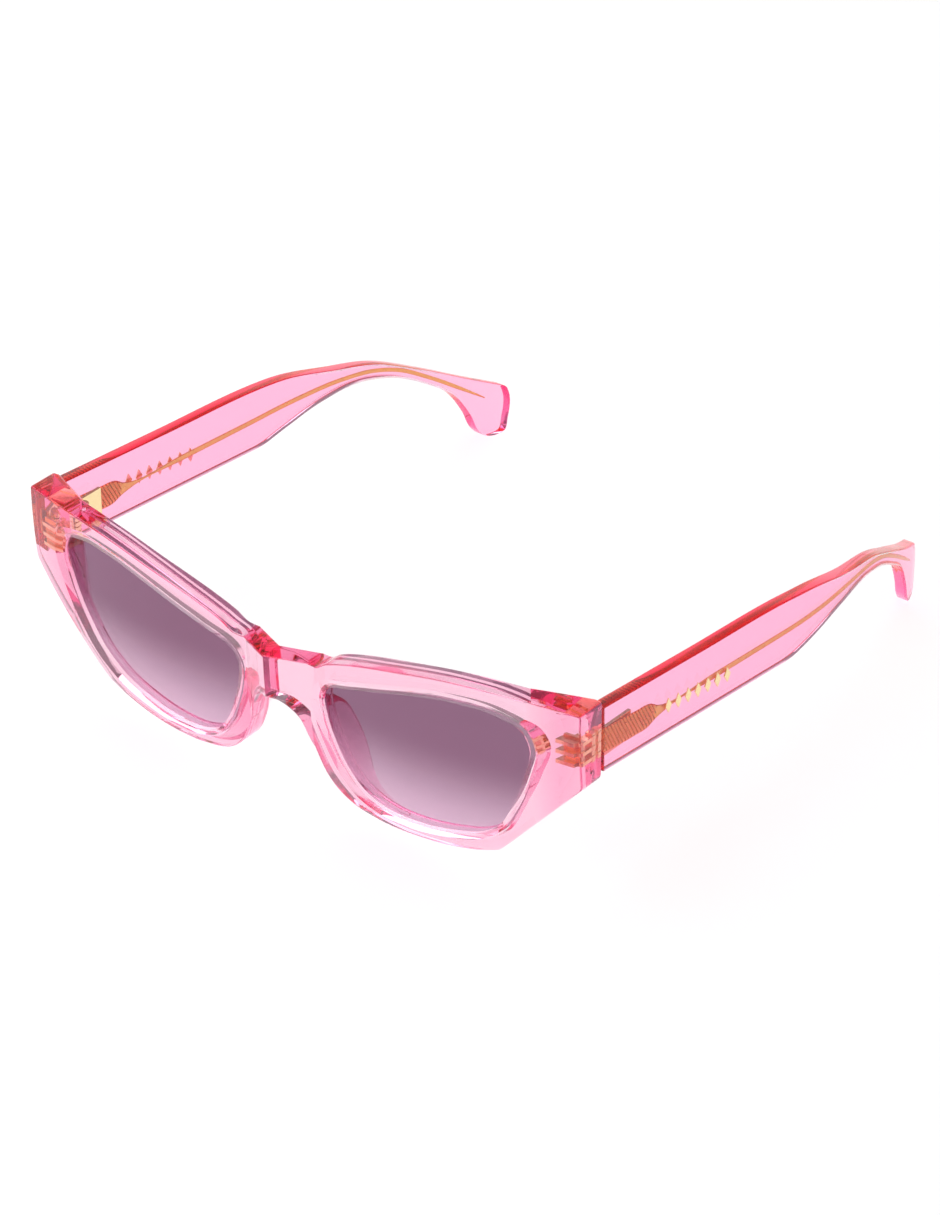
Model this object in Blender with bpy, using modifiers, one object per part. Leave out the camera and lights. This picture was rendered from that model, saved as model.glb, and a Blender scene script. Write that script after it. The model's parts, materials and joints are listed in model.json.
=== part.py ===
"""Cat eye sunglasses: an acetate front with two lenses, and two temples that fold on barrel hinges.

Metres, +Z up. The sunglasses stand on a level surface at Z = 0, on the lower rims and the temple tips,
with the lenses facing -Y and the wearer's left side at +X. Outlines below are in millimetres and are
drawn flat: the front in X, Z and a temple in Y, Z. The flat blanks are machined first, and then bent to
the base curve of the front and to the inward sweep of the temples, as an acetate frame is made.
"""

import bmesh
import bpy
from mathutils import Vector

MM = 0.001
GAP = 0.3  # space between pieces that touch or are let into each other
SMOOTH = "AUTO"
CORNER = "VECTOR"

# Whole object
CENTRE_DEPTH = 66.5  # from the table origin forward to the front's datum, so the model is centred in Y
HALF_WIDTH = 71.7  # outer face of the endpieces and of the straight part of the temples

# Front
FRONT_THICKNESS = 5.2
BLANK_DEPTH = 16.0
BASE_RADIUS = 130.0  # spherical base curve
BASE_APEX_X = 26.0
BASE_APEX_Z = 40.5
BASE_SAG = 4.4
NOSE_FLATTENING = 0.45  # how much of the upright curve is lost at the nose
FULL_CURVE_X = 50.0
RIDGE_HALF_WIDTH = 8.3
RIDGE_SLOPE = 0.45  # how fast the bridge falls back on each side of its centre ridge
ENDPIECE_BACK = 10.6  # the flat rear face that the temple closes against
ENDPIECE_SLOPE = [(71.7, 10.6, 43.9), (58.5, 4.9, 43.9), (58.5, 10.6, 36.5)]  # three places on its upper facet
FRONT_STRIPS = [0.0, 8.3, 14.0, 20.0, 26.0, 32.0, 38.0, 44.0, 50.0, 56.0, 61.0, 66.0]
LEVEL_STRIPS = [8.0, 16.0, 24.0, 32.0]

FRONT_HALF = [
    (-2.0, 34.6, CORNER),
    (8.3, 33.8, CORNER),
    (10.8, 34.2, SMOOTH),
    (13.6, 36.0, SMOOTH),
    (18.5, 38.1, SMOOTH),
    (24.0, 39.8, SMOOTH),
    (33.0, 41.8, SMOOTH),
    (42.0, 43.3, SMOOTH),
    (51.0, 43.9, SMOOTH),
    (60.0, 43.8, SMOOTH),
    (HALF_WIDTH, 42.9, CORNER),
    (HALF_WIDTH - 0.2, 25.6, CORNER),
    (51.3, 3.4, CORNER),
    (47.0, 1.8, SMOOTH),
    (41.0, 0.6, SMOOTH),
    (32.0, 0.0, SMOOTH),
    (23.0, 0.6, SMOOTH),
    (16.4, 2.4, SMOOTH),
    (11.4, 6.8, SMOOTH),
    (8.0, 13.8, SMOOTH),
    (5.1, 21.4, SMOOTH),
    (2.0, 24.0, SMOOTH),
    (-2.0, 24.4, CORNER),
]

# Lens openings, lenses and their groove
OPENING = [
    (12.3, 28.8),
    (19.5, 32.0),
    (26.4, 34.2),
    (34.0, 36.4),
    (44.5, 38.3),
    (54.4, 38.0),
    (59.2, 36.0),
    (60.7, 32.6),
    (59.4, 25.8),
    (55.5, 16.0),
    (52.2, 10.4),
    (47.6, 6.6),
    (40.0, 4.2),
    (31.5, 3.1),
    (24.2, 3.7),
    (19.2, 5.9),
    (15.8, 10.0),
    (13.2, 15.6),
    (11.3, 22.0),
    (11.0, 26.2),
]
OPENING_STEPS = 3
RIM_BEVEL_LOW = 0.6  # width of the bevel at the foot of an opening
RIM_BEVEL_GROWTH = 0.055  # and how much wider it gets with height
RIM_BEVEL_DEPTH = 1.1
GROOVE_FRONT = 2.0
GROOVE_BACK = 4.4
GROOVE_REACH = 1.3
LENS_FRONT = GROOVE_FRONT + GAP
LENS_BACK = GROOVE_BACK - GAP
LENS_REACH = GROOVE_REACH - GAP
LENS_EDGE_LAND = 0.5

# Nose pads
NOSE_PAD = [
    (6.6, 21.4),
    (8.6, 15.6),
    (10.8, 10.6),
    (13.2, 6.8),
    (15.4, 5.8),
    (16.2, 7.4),
    (14.4, 12.0),
    (12.8, 17.0),
    (11.2, 21.4),
    (9.4, 23.8),
    (7.6, 23.8),
]
NOSE_PAD_PROFILE = [(FRONT_THICKNESS + GAP, 0.0), (7.6, -0.1), (9.2, -0.6), (10.4, -1.5)]
NOSE_PAD_FLARE = 0.2  # the pads open outwards towards the face

# Hinges
HINGE_X = 66.4
HINGE_Y = 13.4
HINGE_Z = 32.3
BARREL_RADIUS = 1.5
BARREL_BORE = 0.72
BARREL_SIDES = 24
KNUCKLE_HEIGHT = 0.86
KNUCKLE_PITCH = 1.16
KNUCKLES = 5
NECK_HALF = 0.6
FOOT_HALF = 2.1
FOOT_FRONT = 6.4
SPINE_FRONT = 9.2
SPINE_BACK = 10.2
SPINE_HALF = 1.8
SPINE_HALF_HEIGHT = 3.3
LEAF_INNER = 68.2
LEAF_OUTER = 69.2
LEAF_FRONT = 12.4
LEAF_BACK = 21.0
LEAF_HALF_HEIGHT = 3.2
ARM_OVERLAP = 0.5  # how far an arm runs into its leaf
OVERRUN = 3.0  # how far a cutter runs past what it cuts
SCREW_RADIUS = 0.6
SCREW_HEAD_RADIUS = 1.35
SCREW_HEAD_HEIGHT = 0.8
SCREW_SLOT_WIDTH = 0.4
SCREW_SLOT_DEPTH = 0.35
SCREW_CLEARANCE = 0.12

# Temples
TEMPLE_THICKNESS = 3.0
TEMPLE_FRONT = ENDPIECE_BACK + GAP
SWEEP_START = 73.5
SWEEP_RADIUS = 145.0  # inward curve of the temple behind the kink
SWEEP_STRIPS = [73.5, 79, 84, 89, 94, 99, 104, 109, 114, 119, 124, 129, 134]
TEMPLE_START_TOP = 41.4
KINK = (73.5, 21.4)
TEMPLE = [
    (TEMPLE_FRONT, TEMPLE_START_TOP, CORNER),
    (73.5, 35.8, SMOOTH),
    (81.0, 34.6, SMOOTH),
    (95.0, 31.0, SMOOTH),
    (107.0, 28.0, SMOOTH),
    (120.0, 21.9, SMOOTH),
    (131.0, 16.0, SMOOTH),
    (139.2, 11.9, CORNER),
    (139.8, 9.6, SMOOTH),
    (139.4, 4.0, SMOOTH),
    (138.4, 0.5, SMOOTH),
    (136.3, 0.0, SMOOTH),
    (134.2, 0.5, SMOOTH),
    (132.8, 2.0, SMOOTH),
    (130.6, 7.2, SMOOTH),
    (127.0, 13.0, SMOOTH),
    (120.0, 18.3, SMOOTH),
    (112.0, 22.8, SMOOTH),
    (104.0, 24.9, SMOOTH),
    (92.0, 24.4, SMOOTH),
    (81.0, 22.6, SMOOTH),
    (KINK[0], KINK[1], CORNER),
    (TEMPLE_FRONT, 26.5, CORNER),
]

# Core wires: stations along the temple, each with its height and the half width of the metal
CORE_THICKNESS = 0.8
CORE = [
    (TEMPLE_FRONT + 0.2, 33.2, 2.8),
    (22.0, 32.0, 2.8),
    (26.2, 31.6, 2.6),
    (29.2, 31.2, 1.3),
    (31.6, 31.0, 0.7),
    (48.0, 30.0, 0.65),
    (61.0, 29.1, 0.6),
    (74.5, 28.2, 0.55),
    (86.0, 27.7, 0.55),
    (98.0, 27.2, 0.5),
    (107.0, 26.1, 0.5),
    (114.0, 23.8, 0.5),
    (121.0, 19.7, 0.45),
    (129.0, 14.2, 0.4),
    (134.8, 10.0, 0.25),
]
CORE_REED_PITCH = 1.0
CORE_REED_WIDTH = 0.4
CORE_REED_DEPTH = 0.15
CORE_REED_START = 16.0
CORE_REED_END = 29.0
CORE_REED_LOW = 20.0
CORE_REED_HIGH = 40.0

# Ornaments
ORNAMENTS = 7
ORNAMENT_START = 31.7
ORNAMENT_PITCH = 3.25
ORNAMENT_TOP = 31.5  # height of the middle of the first ornament
ORNAMENT_SLOPE = 0.136  # their row follows the core, which drops faster than the top edge
ORNAMENT_HALF_WIDTH = 1.0
ORNAMENT_HALF_HEIGHT = 1.7
ORNAMENT_THICKNESS = 0.45
ORNAMENT_POCKET = 0.45
TEMPLE_SLOPE = (TEMPLE_START_TOP - 35.8) / (73.5 - TEMPLE_FRONT)

FINISHES = {
    "acetate": ((1.0, 0.56, 0.72, 1.0), 0.08, 0.0),
    "lens": ((0.47, 0.34, 0.46, 1.0), 0.05, 0.0),
    "gold": ((0.92, 0.66, 0.34, 1.0), 0.25, 1.0),
    "pale_gold": ((0.95, 0.82, 0.52, 1.0), 0.22, 1.0),
}


def clear_scene():
    for obj in list(bpy.data.objects):
        bpy.data.objects.remove(obj, do_unlink=True)


def new_collection(name, shown):
    collection = bpy.data.collections.new(name)
    bpy.context.scene.collection.children.link(collection)
    collection.hide_render = not shown
    return collection


def finish(name):
    """The Principled material of one finish, made once."""
    material = bpy.data.materials.get(name)
    if material is None:
        colour, roughness, metallic = FINISHES[name]
        material = bpy.data.materials.new(name)
        material.use_nodes = True
        shader = material.node_tree.nodes["Principled BSDF"]
        shader.inputs["Base Color"].default_value = colour
        shader.inputs["Roughness"].default_value = roughness
        shader.inputs["Metallic"].default_value = metallic
    return material


def add_object(name, mesh, collection):
    obj = bpy.data.objects.new(name, mesh)
    collection.objects.link(obj)
    return obj


# Solids, all in millimetres until they are placed


def curve_blank(name, knots, low, high):
    """Mesh of a flat outline from a 2D curve, as (u, v, w) with w from low to high."""
    curve = bpy.data.curves.new(name, "CURVE")
    curve.dimensions = "2D"
    curve.fill_mode = "BOTH"
    curve.resolution_u = 4
    curve.extrude = (high - low) / 2
    spline = curve.splines.new("BEZIER")
    spline.bezier_points.add(len(knots) - 1)
    for point, (u, v, handle) in zip(spline.bezier_points, knots):
        point.co = (u, v, 0)
        point.handle_left_type = handle
        point.handle_right_type = handle
    spline.use_cyclic_u = True
    guide = bpy.data.objects.new(name, curve)
    bpy.context.scene.collection.objects.link(guide)
    bpy.context.view_layer.update()
    graph = bpy.context.evaluated_depsgraph_get()
    mesh = bpy.data.meshes.new_from_object(guide.evaluated_get(graph))
    bpy.data.objects.remove(guide, do_unlink=True)
    solid = bmesh.new()
    solid.from_mesh(mesh)
    bmesh.ops.remove_doubles(solid, verts=solid.verts, dist=0.001)
    bmesh.ops.translate(solid, verts=solid.verts, vec=(0, 0, (high + low) / 2))
    bmesh.ops.recalc_face_normals(solid, faces=solid.faces)
    solid.to_mesh(mesh)
    solid.free()
    return mesh


def closed_spline(knots, steps):
    """Points of a closed Catmull-Rom curve through the knots."""
    points = []
    count = len(knots)
    for i in range(count):
        a, b, c, d = (Vector(knots[(i + k) % count]) for k in (-1, 0, 1, 2))
        for step in range(steps):
            t = step / steps
            bend = (2 * a - 5 * b + 4 * c - d) * t**2 + (3 * b - a - 3 * c + d) * t**3
            points.append(0.5 * (2 * b + (c - a) * t + bend))
    return points


def offset_outline(points, distance):
    """The closed outline moved outwards by a distance, or by a function of the point that gives one."""
    area = sum(p.cross(q) for p, q in zip(points, points[1:] + points[:1]))
    side = 1 if area > 0 else -1
    moved = []
    for i, point in enumerate(points):
        before = (point - points[i - 1]).normalized()
        after = (points[(i + 1) % len(points)] - point).normalized()
        tangent = (before + after).normalized()
        reach = distance(point) if callable(distance) else distance
        moved.append(point + side * reach * Vector((tangent.y, -tangent.x)))
    return moved


def stacked_solid(name, points, profile, flare=0.0):
    """A solid of rings: each (depth, offset) of the profile is the outline moved outwards by that offset."""
    solid = bmesh.new()
    rings = []
    start = profile[0][0]
    for depth, offset in profile:
        shift = flare * (depth - start)
        rings.append([solid.verts.new((p.x + shift, p.y, -depth)) for p in offset_outline(points, offset)])
    for low, high in zip(rings, rings[1:]):
        for i in range(len(points)):
            j = (i + 1) % len(points)
            solid.faces.new((low[i], low[j], high[j], high[i]))
    solid.faces.new(rings[0])
    solid.faces.new(rings[-1])
    bmesh.ops.recalc_face_normals(solid, faces=solid.faces)
    mesh = bpy.data.meshes.new(name)
    solid.to_mesh(mesh)
    solid.free()
    return mesh


def box(name, low, high):
    """A box between two corners, from the cube primitive."""
    solid = bmesh.new()
    bmesh.ops.create_cube(solid, size=1.0)
    size = Vector(high) - Vector(low)
    bmesh.ops.scale(solid, verts=solid.verts, vec=size)
    bmesh.ops.translate(solid, verts=solid.verts, vec=(Vector(low) + Vector(high)) / 2)
    mesh = bpy.data.meshes.new(name)
    solid.to_mesh(mesh)
    solid.free()
    return mesh


def upright_cylinder(name, x, y, low, high, radius):
    """A vertical cylinder from the cone primitive."""
    solid = bmesh.new()
    bmesh.ops.create_cone(
        solid, cap_ends=True, segments=BARREL_SIDES, radius1=radius, radius2=radius, depth=high - low
    )
    bmesh.ops.translate(solid, verts=solid.verts, vec=(x, y, (low + high) / 2))
    mesh = bpy.data.meshes.new(name)
    solid.to_mesh(mesh)
    solid.free()
    return mesh


def combine(mesh, others, operation):
    """The mesh after an exact Boolean with each of the other meshes."""
    base = bpy.data.objects.new("work", mesh)
    bpy.context.scene.collection.objects.link(base)
    tools = []
    for other in others:
        tool = add_object(other.name, other, CUTTERS)
        tool.display_type = "WIRE"
        tool.hide_render = True
        tools.append(tool)
        modifier = base.modifiers.new(other.name, "BOOLEAN")
        modifier.operation = operation
        modifier.solver = "EXACT"
        modifier.object = tool
    bpy.context.view_layer.update()
    graph = bpy.context.evaluated_depsgraph_get()
    result = bpy.data.meshes.new_from_object(base.evaluated_get(graph))
    for obj in [base] + tools:
        bpy.data.objects.remove(obj, do_unlink=True)
    return result


def cut(mesh, *others):
    return combine(mesh, others, "DIFFERENCE")


def join(mesh, *others):
    return combine(mesh, others, "UNION")


def reshape(mesh, move):
    """Moves every vertex by a function of its place."""
    for vertex in mesh.vertices:
        vertex.co = move(vertex.co)
    return mesh


def slice_mesh(mesh, axis, places):
    """Adds an edge loop at each place along an axis, so that the flat faces can bend there."""
    solid = bmesh.new()
    solid.from_mesh(mesh)
    normal = Vector((0, 0, 0))
    normal[axis] = 1
    for place in places:
        geometry = solid.verts[:] + solid.edges[:] + solid.faces[:]
        bmesh.ops.bisect_plane(solid, geom=geometry, dist=0.0001, plane_co=normal * place, plane_no=normal)
    bmesh.ops.triangulate(solid, faces=solid.faces)
    solid.to_mesh(mesh)
    solid.free()
    return mesh


def mirrored(mesh):
    """The same solid on the other side of the wearer's nose."""
    solid = bmesh.new()
    solid.from_mesh(mesh)
    bmesh.ops.scale(solid, verts=solid.verts, vec=(-1, 1, 1))
    bmesh.ops.reverse_faces(solid, faces=solid.faces)
    mesh = mesh.copy()
    solid.to_mesh(mesh)
    solid.free()
    return mesh


def place(name, mesh, finish_name, parent):
    """Adds a finished solid to the sunglasses, with its origin at its parent."""
    mesh = mesh.copy()
    origin = parent.matrix_world.translation / MM
    for vertex in mesh.vertices:
        vertex.co = (vertex.co + Vector((0, -CENTRE_DEPTH, 0)) - origin) * MM
    mesh.materials.clear()
    mesh.materials.append(finish(finish_name))
    mesh.shade_smooth()
    mesh.set_sharp_from_angle(angle=0.4)
    obj = add_object(name, mesh, PARTS)
    obj.parent = parent
    return obj


# The front


def front_place(co):
    """Flat front space (x, z, -depth) to the bent front."""
    across = abs(co.x)
    beyond = max(across, RIDGE_HALF_WIDTH)
    upright = 1.0 - NOSE_FLATTENING * (1.0 - min(across / FULL_CURVE_X, 1.0))
    squares = (beyond - BASE_APEX_X) ** 2 + upright * (co.y - BASE_APEX_Z) ** 2
    sag = squares / (2 * BASE_RADIUS) - BASE_SAG
    ridge = RIDGE_SLOPE * max(RIDGE_HALF_WIDTH - across, 0.0)
    return Vector((co.x, sag - ridge - co.z, co.y))


def opening_outline():
    return closed_spline(OPENING, OPENING_STEPS)


def rim_bevel(point):
    return RIM_BEVEL_LOW + RIM_BEVEL_GROWTH * point.y


def opening_cutter():
    """Removes a lens opening, its bevelled front edge and the groove that holds the lens."""
    profile = [
        (-2.0, rim_bevel),
        (0.0, rim_bevel),
        (RIM_BEVEL_DEPTH, 0.0),
        (GROOVE_FRONT, 0.0),
        (GROOVE_FRONT, GROOVE_REACH),
        (GROOVE_BACK, GROOVE_REACH),
        (GROOVE_BACK, 0.0),
        (BLANK_DEPTH + 2.0, 0.0),
    ]
    return stacked_solid("opening", opening_outline(), profile)


def backing_cutter():
    """Thins the blank to the rim thickness and leaves the deep endpieces, with a sloped step."""
    knots = [
        (-4.0, FRONT_THICKNESS, CORNER),
        (58.5, FRONT_THICKNESS, CORNER),
        (62.5, FRONT_THICKNESS + 3.6, CORNER),
        (63.5, BLANK_DEPTH + 4.0, CORNER),
        (-4.0, BLANK_DEPTH + 4.0, CORNER),
    ]
    mesh = curve_blank("backing", knots, -5.0, 50.0)
    return reshape(mesh, lambda co: Vector((co.x, co.z, -co.y)))


def facing_cutter():
    return box("facing", (50.0, ENDPIECE_BACK, -5.0), (90.0, 60.0, 60.0))


def slope_cutter():
    """What lies above and behind the upper facet of the endpiece, outward from the rim."""
    corner, rim, foot = (Vector(place) for place in ENDPIECE_SLOPE)
    solid = bmesh.new()
    solid.from_mesh(box("slope", (rim.x, 0.0, 30.0), (90.0, 60.0, 60.0)))
    geometry = solid.verts[:] + solid.edges[:] + solid.faces[:]
    facet = (rim - corner).cross(foot - corner)
    cut_ring = bmesh.ops.bisect_plane(
        solid, geom=geometry, plane_co=corner, plane_no=facet, clear_outer=True
    )["geom_cut"]
    edges = [piece for piece in cut_ring if isinstance(piece, bmesh.types.BMEdge)]
    bmesh.ops.contextual_create(solid, geom=edges)
    bmesh.ops.recalc_face_normals(solid, faces=solid.faces)
    mesh = bpy.data.meshes.new("slope")
    solid.to_mesh(mesh)
    solid.free()
    return mesh


def recalculated(mesh):
    solid = bmesh.new()
    solid.from_mesh(mesh)
    bmesh.ops.recalc_face_normals(solid, faces=solid.faces)
    solid.to_mesh(mesh)
    solid.free()
    return mesh


def front_half_mesh():
    blank = curve_blank("front", FRONT_HALF, -BLANK_DEPTH, 0.0)
    blank = cut(blank, recalculated(backing_cutter()), opening_cutter())
    blank = slice_mesh(blank, 0, FRONT_STRIPS)
    blank = slice_mesh(blank, 1, LEVEL_STRIPS)
    blank = recalculated(reshape(blank, front_place))
    blank = cut(blank, facing_cutter(), slope_cutter(), front_hinge_mesh(GAP))
    return opened_at_middle(blank)


def opened_at_middle(mesh):
    """Takes away what lies beyond the middle plane, so that the half can be mirrored in it."""
    solid = bmesh.new()
    solid.from_mesh(mesh)
    geometry = solid.verts[:] + solid.edges[:] + solid.faces[:]
    bmesh.ops.bisect_plane(
        solid,
        geom=geometry,
        dist=0.001,
        plane_co=(0, 0, 0),
        plane_no=(1, 0, 0),
        use_snap_center=True,
        clear_inner=True,
    )
    solid.to_mesh(mesh)
    solid.free()
    return mesh


def make_front(stance):
    obj = place("front", front_half_mesh(), "acetate", stance)
    mirror = obj.modifiers.new("other_half", "MIRROR")
    mirror.use_axis = (True, False, False)
    mirror.use_mirror_merge = True
    mirror.merge_threshold = 0.00001
    return obj


def lens_mesh():
    middle = (LENS_FRONT + LENS_BACK) / 2
    inner = LENS_REACH - 0.6
    profile = [
        (LENS_FRONT, inner),
        (middle - LENS_EDGE_LAND / 2, LENS_REACH),
        (middle + LENS_EDGE_LAND / 2, LENS_REACH),
        (LENS_BACK, inner),
    ]
    mesh = stacked_solid("lens", opening_outline(), profile)
    mesh = slice_mesh(mesh, 0, FRONT_STRIPS[2:])
    mesh = slice_mesh(mesh, 1, LEVEL_STRIPS)
    return recalculated(reshape(mesh, front_place))


def nose_pad_mesh():
    outline = closed_spline(NOSE_PAD, 2)
    mesh = stacked_solid("nose_pad", outline, NOSE_PAD_PROFILE, NOSE_PAD_FLARE)
    mesh = slice_mesh(mesh, 0, FRONT_STRIPS[1:3])
    return recalculated(reshape(mesh, front_place))


# The hinges


def knuckle_level(index, clearance=0.0):
    """Lowest and highest Z of one knuckle, counted from the top."""
    middle = HINGE_Z + (KNUCKLES // 2 - index) * KNUCKLE_PITCH
    half = KNUCKLE_HEIGHT / 2 + clearance
    return middle - half, middle + half


def bore(name):
    reach = KNUCKLES * KNUCKLE_PITCH
    return upright_cylinder(name, HINGE_X, HINGE_Y, HINGE_Z - reach, HINGE_Z + reach, BARREL_BORE)


def front_hinge_mesh(clearance=0.0):
    """The leaf set in the endpiece, with a foot and a knuckle at every other level.

    With a clearance it is the pocket that the leaf needs in the acetate.
    """
    pieces = []
    behind = 2.0 if clearance else 0.0
    for index in range(0, KNUCKLES, 2):
        low, high = knuckle_level(index, clearance)
        corner = (HINGE_X - FOOT_HALF - clearance, FOOT_FRONT - clearance, low)
        pieces.append(box(f"foot_{index}", corner, (HINGE_X + FOOT_HALF + clearance, SPINE_BACK, high)))
        neck_low = (HINGE_X - NECK_HALF - clearance, SPINE_FRONT, low)
        neck_high = (HINGE_X + NECK_HALF + clearance, HINGE_Y, high)
        pieces.append(box(f"neck_{index}", neck_low, neck_high))
        if not clearance:
            pieces.append(upright_cylinder(f"knuckle_{index}", HINGE_X, HINGE_Y, low, high, BARREL_RADIUS))
    half = SPINE_HALF + clearance
    height = SPINE_HALF_HEIGHT + clearance
    spine = box(
        "spine",
        (HINGE_X - half, SPINE_FRONT - clearance, HINGE_Z - height),
        (HINGE_X + half, SPINE_BACK + clearance + behind, HINGE_Z + height),
    )
    solid = join(spine, *pieces)
    if clearance:
        return solid
    return cut(solid, bore("front_bore"))


def temple_hinge_mesh():
    """The leaf on the temple, with a knuckle at each level between those of the front."""
    pieces = []
    for index in range(1, KNUCKLES, 2):
        low, high = knuckle_level(index)
        start = (HINGE_X, HINGE_Y - NECK_HALF, low)
        end = (LEAF_INNER + ARM_OVERLAP, HINGE_Y + NECK_HALF, high)
        pieces.append(box(f"arm_{index}", start, end))
        pieces.append(upright_cylinder(f"knuckle_{index}", HINGE_X, HINGE_Y, low, high, BARREL_RADIUS))
    leaf = box(
        "leaf",
        (LEAF_INNER, LEAF_FRONT, HINGE_Z - LEAF_HALF_HEIGHT),
        (LEAF_OUTER, LEAF_BACK, HINGE_Z + LEAF_HALF_HEIGHT),
    )
    return cut(join(leaf, *pieces), bore("temple_bore"))


def screw_mesh():
    """The slotted screw that each temple turns on."""
    bottom = knuckle_level(KNUCKLES - 1)[0]
    top = knuckle_level(0)[1] + SCREW_CLEARANCE
    shaft = upright_cylinder("shaft", HINGE_X, HINGE_Y, bottom, top + 0.1, SCREW_RADIUS)
    head = upright_cylinder("head", HINGE_X, HINGE_Y, top, top + SCREW_HEAD_HEIGHT, SCREW_HEAD_RADIUS)
    slot = box(
        "slot",
        (HINGE_X - OVERRUN, HINGE_Y - SCREW_SLOT_WIDTH / 2, top + SCREW_HEAD_HEIGHT - SCREW_SLOT_DEPTH),
        (HINGE_X + OVERRUN, HINGE_Y + SCREW_SLOT_WIDTH / 2, top + SCREW_HEAD_HEIGHT + OVERRUN),
    )
    return cut(join(head, shaft), slot)


# The temples


def temple_place(co):
    """Flat temple space (y, z, inward distance from the outer face) to the swept temple."""
    behind = max(co.x - SWEEP_START, 0.0)
    return Vector((HALF_WIDTH + co.z - behind**2 / (2 * SWEEP_RADIUS), co.x, co.y))


def core_outline(clearance):
    """Both edges of the core, offset from its centre line by its half width."""
    count = len(CORE)
    upper = []
    lower = []
    for i, (along, height, half) in enumerate(CORE):
        before = CORE[max(i - 1, 0)]
        after = CORE[min(i + 1, count - 1)]
        tangent = Vector((after[0] - before[0], after[1] - before[1])).normalized()
        normal = Vector((-tangent.y, tangent.x))
        middle = Vector((along, height))
        if clearance and i == 0:
            middle = Vector((along - OVERRUN, height + OVERRUN * TEMPLE_SLOPE))
        if i == count - 1:
            middle += tangent * clearance
        upper.append(middle + normal * (half + clearance))
        lower.append(middle - normal * (half + clearance))
    return upper + lower[::-1]


def core_mesh():
    low = -(TEMPLE_THICKNESS + CORE_THICKNESS) / 2
    core = stacked_solid("core", core_outline(0.0), [(-low, 0.0), (-low - CORE_THICKNESS, 0.0)])
    grooves = []
    for face in (low, low + CORE_THICKNESS):
        along = CORE_REED_START
        while along < CORE_REED_END:
            start = (along, CORE_REED_LOW, face - CORE_REED_DEPTH)
            end = (along + CORE_REED_WIDTH, CORE_REED_HIGH, face + CORE_REED_DEPTH)
            grooves.append(box(f"reed_{along:.0f}", start, end))
            along += CORE_REED_PITCH
    core = cut(core, *grooves)
    return recalculated(reshape(slice_mesh(core, 0, SWEEP_STRIPS), temple_place))


def core_channel():
    """The channel that the core is pushed into, open at the front end of the temple."""
    half = CORE_THICKNESS / 2 + GAP
    middle = TEMPLE_THICKNESS / 2
    return stacked_solid("channel", core_outline(GAP), [(middle - half, 0.0), (middle + half, 0.0)])


def ornament_outline(index):
    along = ORNAMENT_START + index * ORNAMENT_PITCH
    height = ORNAMENT_TOP - index * ORNAMENT_PITCH * ORNAMENT_SLOPE
    return [
        Vector((along - ORNAMENT_HALF_WIDTH, height)),
        Vector((along, height - ORNAMENT_HALF_HEIGHT)),
        Vector((along + ORNAMENT_HALF_WIDTH, height)),
        Vector((along, height + ORNAMENT_HALF_HEIGHT)),
    ]


def ornament_mesh(index):
    """A small metal lozenge that stands a little proud of the outer face."""
    proud = ORNAMENT_THICKNESS - ORNAMENT_POCKET + GAP
    profile = [(-proud, -0.25), (-proud + 0.2, 0.0), (ORNAMENT_THICKNESS - proud, 0.0)]
    mesh = stacked_solid(f"ornament_{index}", ornament_outline(index), profile)
    return recalculated(reshape(mesh, temple_place))


def ornament_pocket(index):
    return stacked_solid(
        f"pocket_{index}", ornament_outline(index), [(-1.0, GAP), (ORNAMENT_POCKET, GAP)]
    )


def leaf_pocket():
    """Clears the temple hinge's leaf, through to the core."""
    depth = TEMPLE_THICKNESS / 2 + 0.1
    low = (LEAF_FRONT - OVERRUN, HINGE_Z - LEAF_HALF_HEIGHT - GAP, -TEMPLE_THICKNESS - OVERRUN)
    return box("leaf_pocket", low, (LEAF_BACK + GAP, HINGE_Z + LEAF_HALF_HEIGHT + GAP, -depth))


def temple_mesh():
    blank = curve_blank("temple", TEMPLE, -TEMPLE_THICKNESS, 0.0)
    pockets = [ornament_pocket(index) for index in range(ORNAMENTS)]
    blank = cut(blank, core_channel(), leaf_pocket(), *pockets)
    return recalculated(reshape(slice_mesh(blank, 0, SWEEP_STRIPS), temple_place))


def make_side(side, sign, stance):
    """Everything that comes in a pair, for one side of the face."""

    def on_side(mesh):
        return mesh if sign > 0 else mirrored(mesh)

    axis = bpy.data.objects.new(f"hinge_axis_{side}", None)
    PARTS.objects.link(axis)
    axis.location = (sign * HINGE_X * MM, (HINGE_Y - CENTRE_DEPTH) * MM, 0)
    bpy.context.view_layer.update()
    place(f"lens_{side}", on_side(lens_mesh()), "lens", stance)
    place(f"nose_pad_{side}", on_side(nose_pad_mesh()), "acetate", stance)
    place(f"front_hinge_{side}", on_side(front_hinge_mesh()), "pale_gold", stance)
    place(f"hinge_screw_{side}", on_side(screw_mesh()), "pale_gold", stance)
    place(f"temple_hinge_{side}", on_side(temple_hinge_mesh()), "pale_gold", axis)
    place(f"temple_{side}", on_side(temple_mesh()), "acetate", axis)
    place(f"core_wire_{side}", on_side(core_mesh()), "gold", axis)
    for index in range(ORNAMENTS):
        mesh = on_side(ornament_mesh(index))
        place(f"temple_ornament_{side}_{index + 1}", mesh, "pale_gold", axis)


clear_scene()
PARTS = new_collection("cat_eye_sunglasses", True)
CUTTERS = new_collection("cutters", False)
STANCE = bpy.data.objects.new("stance", None)
PARTS.objects.link(STANCE)
bpy.context.view_layer.update()
make_front(STANCE)
make_side("left", 1, STANCE)
make_side("right", -1, STANCE)
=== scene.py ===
"""Cat eye sunglasses in translucent acetate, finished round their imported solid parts.

Shapes are worked out in millimetres on flat blanks, the front in (x, z, depth) and a temple in
(y, z, depth), and are then bent to the base curve of the front or the inward sweep of the temples.
"""

import json
import math

import bmesh
import bpy
import numpy as np
from mathutils import Matrix, Vector


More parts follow.
